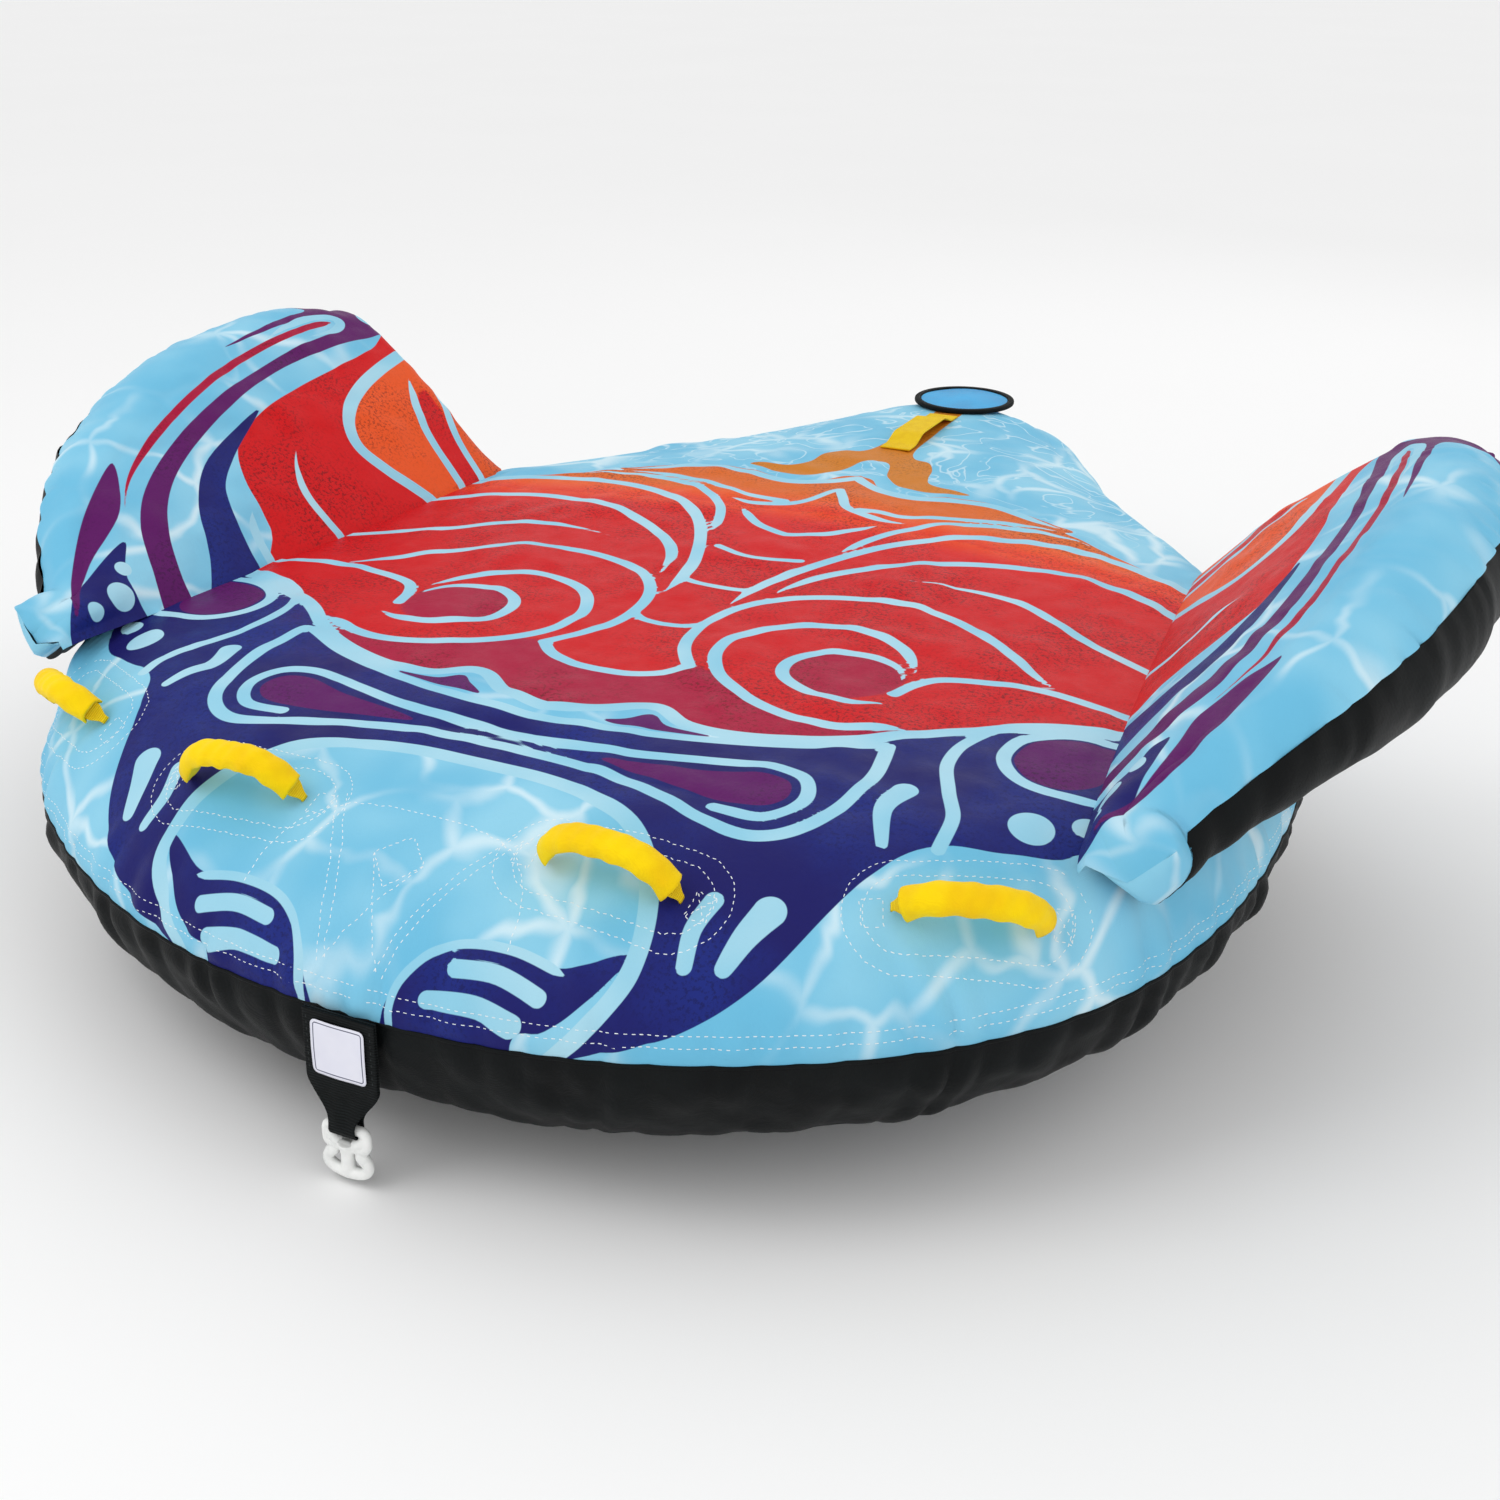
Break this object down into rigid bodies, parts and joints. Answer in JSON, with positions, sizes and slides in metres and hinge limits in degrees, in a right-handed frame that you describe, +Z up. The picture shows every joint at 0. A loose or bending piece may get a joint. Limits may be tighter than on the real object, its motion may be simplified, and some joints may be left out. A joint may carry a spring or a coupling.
{
  "type": "towable tube",
  "caption": "Inflatable water-sports tube for towing: flat deck between two upswept side wings, grab handles at the front and a tow strap with a hook.",
  "frame": {"origin": "on the floor under the middle of the tube's overall length and width", "axes": "+Z up, -Y towards the tow strap, +Y towards the tail, +X to the right wing seen from the tail"},
  "size_m": [1.8976, 1.9753, 0.6112],
  "materials": {
    "printed_cover": "satin",
    "black_cover": "satin",
    "yellow_grip": "matte",
    "yellow_webbing": "matte",
    "inner_patch": "matte",
    "black_webbing": "matte",
    "bladder_vinyl": "satin",
    "label": "satin",
    "white_plastic": "gloss",
    "blue_flap": "matte",
    "black_binding": "matte",
    "grey_plastic": "satin"
  },
  "bodies": {
    "root": {"deck_bladder": "bladder_vinyl", "deck_bottom_cover": "black_cover", "deck_top_cover": "printed_cover", "deck_valve_body": "grey_plastic", "handle_patch_inner_left": "inner_patch", "handle_patch_inner_right": "inner_patch", "handle_patch_outer_left": "inner_patch", "handle_patch_outer_right": "inner_patch", "rear_grab_strap": "yellow_webbing", "tow_patch": "inner_patch", "wing_back_cover_left": "black_cover", "wing_back_cover_right": "black_cover", "wing_bladder_left": "bladder_vinyl", "wing_bladder_right": "bladder_vinyl", "wing_top_cover_left": "printed_cover", "wing_top_cover_right": "printed_cover", "wing_valve_body_left": "grey_plastic", "wing_valve_body_right": "grey_plastic", "zip_tape": "black_webbing"},
    "tow_strap": {"tow_strap": "black_webbing", "tow_label": "label"},
    "tow_hook": {"tow_hook": "white_plastic"},
    "valve_flap": {"valve_flap": "blue_flap", "valve_flap_binding": "black_binding"},
    "deck_valve_cap": {"deck_valve_cap": "grey_plastic"},
    "wing_valve_cap_left": {"wing_valve_cap_left": "grey_plastic"},
    "wing_valve_cap_right": {"wing_valve_cap_right": "grey_plastic"},
    "zip_slider": {"zip_slider": "grey_plastic"},
    "handle_inner_left": {"handle_grip_inner_left": "yellow_grip", "handle_webbing_inner_left": "yellow_webbing"},
    "handle_inner_right": {"handle_grip_inner_right": "yellow_grip", "handle_webbing_inner_right": "yellow_webbing"},
    "handle_outer_left": {"handle_grip_outer_left": "yellow_grip", "handle_webbing_outer_left": "yellow_webbing"},
    "handle_outer_right": {"handle_grip_outer_right": "yellow_grip", "handle_webbing_outer_right": "yellow_webbing"}
  },
  "joints": [
    {"name": "tow_strap_swing", "type": "hinge", "parent": "root", "child": "tow_strap", "pos_m": [0, -0.973, 0.196], "axis": [-1, 0, 0], "range_deg": [0, 110]},
    {"name": "tow_hook_swing", "type": "hinge", "parent": "tow_strap", "child": "tow_hook", "pos_m": [0, -0.973, 0.066], "axis": [-1, 0, 0], "range_deg": [-60, 60]},
    {"name": "valve_flap_open", "type": "hinge", "parent": "root", "child": "valve_flap", "pos_m": [0, 0.782, 0.3915], "axis": [1, 0, 0], "range_deg": [0, 105]},
    {"name": "deck_valve_cap_turn", "type": "hinge", "parent": "root", "child": "deck_valve_cap", "pos_m": [0, 0.868, 0.39], "axis": [0, 0, 1], "range_deg": [0, 270]},
    {"name": "zip_slide", "type": "slide", "parent": "root", "child": "zip_slider", "axis": [0, 0.9883, 0.1527], "range_m": [0, 0.245]},
    {"name": "wing_valve_cap_turn_left", "type": "hinge", "parent": "root", "child": "wing_valve_cap_left", "pos_m": [-0.845, 0.0743, 0.3959], "axis": [-0.6712, 0.0451, -0.7399], "range_deg": [0, 270]},
    {"name": "wing_valve_cap_turn_right", "type": "hinge", "parent": "root", "child": "wing_valve_cap_right", "pos_m": [0.845, 0.0743, 0.3959], "axis": [0.6712, 0.0451, -0.7399], "range_deg": [0, 270]},
    {"name": "handle_swing_inner_left", "type": "hinge", "parent": "root", "child": "handle_inner_left", "pos_m": [-0.2222, -0.8192, 0.3285], "axis": [0.9981, 0, 0.0608], "range_deg": [-35, 35], "stiffness_Nm_per_rad": 0.25},
    {"name": "handle_swing_inner_right", "type": "hinge", "parent": "root", "child": "handle_inner_right", "pos_m": [0.2222, -0.8192, 0.3281], "axis": [0.9983, 0, -0.0589], "range_deg": [-35, 35], "stiffness_Nm_per_rad": 0.25},
    {"name": "handle_swing_outer_left", "type": "hinge", "parent": "root", "child": "handle_outer_left", "pos_m": [-0.5503, -0.7096, 0.3147], "axis": [0.8551, -0.4937, 0.1586], "range_deg": [-35, 35], "stiffness_Nm_per_rad": 0.25},
    {"name": "handle_swing_outer_right", "type": "hinge", "parent": "root", "child": "handle_outer_right", "pos_m": [0.5504, -0.7097, 0.3142], "axis": [0.8545, 0.4933, -0.1626], "range_deg": [-35, 35], "stiffness_Nm_per_rad": 0.25}
  ]
}
